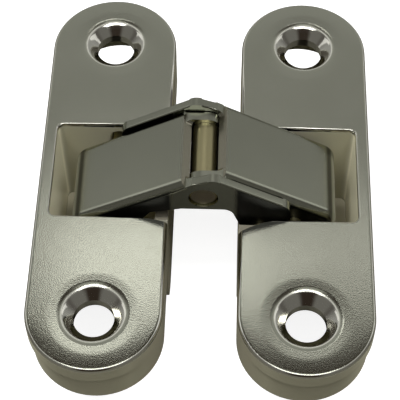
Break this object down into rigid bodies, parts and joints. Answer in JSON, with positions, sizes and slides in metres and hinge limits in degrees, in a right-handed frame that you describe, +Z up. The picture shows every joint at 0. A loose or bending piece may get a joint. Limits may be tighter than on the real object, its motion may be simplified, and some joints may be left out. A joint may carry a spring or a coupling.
{
  "type": "concealed hinge",
  "caption": "Concealed hinge with long round-ended leaves, pocketed housings and crossed sheet arms on a centre pin, shown opened flat. The arms fold into the pockets as it shuts.",
  "frame": {"origin": "midway between the open leaves, level with the undersides of the housings", "axes": "+X across the hinge to the right leaf, +Y along the leaves, +Z up out of the leaf faces"},
  "size_m": [0.0356, 0.048, 0.0205],
  "materials": {
    "leaf_nickel": "satin pearl nickel plate on cast zinc alloy",
    "arm_nickel": "smooth nickel plate on folded steel sheet",
    "pin_steel": "turned steel pin with a warm nickel plate"
  },
  "bodies": {
    "left_leaf": {"left_body": "leaf_nickel"},
    "right_link": {"right_arm": "arm_nickel", "right_pivot_pin": "pin_steel", "right_slide_pin": "pin_steel"},
    "left_link": {"left_arm": "arm_nickel", "left_pivot_pin": "pin_steel", "left_slide_pin": "pin_steel", "centre_pin": "pin_steel"},
    "right_leaf": {"right_body": "leaf_nickel"}
  },
  "joints": [
    {"name": "right_arm_turn", "type": "hinge", "parent": "left_leaf", "child": "right_link", "pos_m": [-0.00604, 0, 0.01177], "axis": [0, -1, 0], "range_deg": [0, 102]},
    {"name": "centre_pin_turn", "type": "hinge", "parent": "right_link", "child": "left_link", "pos_m": [0, 0, 0.0174], "axis": [0, -1, 0], "range_deg": [-24, 0]},
    {"name": "right_leaf_turn", "type": "hinge", "parent": "left_link", "child": "right_leaf", "pos_m": [0.00604, 0, 0.01177], "axis": [0, -1, 0], "range_deg": [0, 102]}
  ],
  "couplings": [
    {"joint": "centre_pin_turn", "follows": "right_arm_turn", "ratio": -0.23529},
    {"joint": "right_leaf_turn", "follows": "right_arm_turn", "ratio": 1}
  ]
}
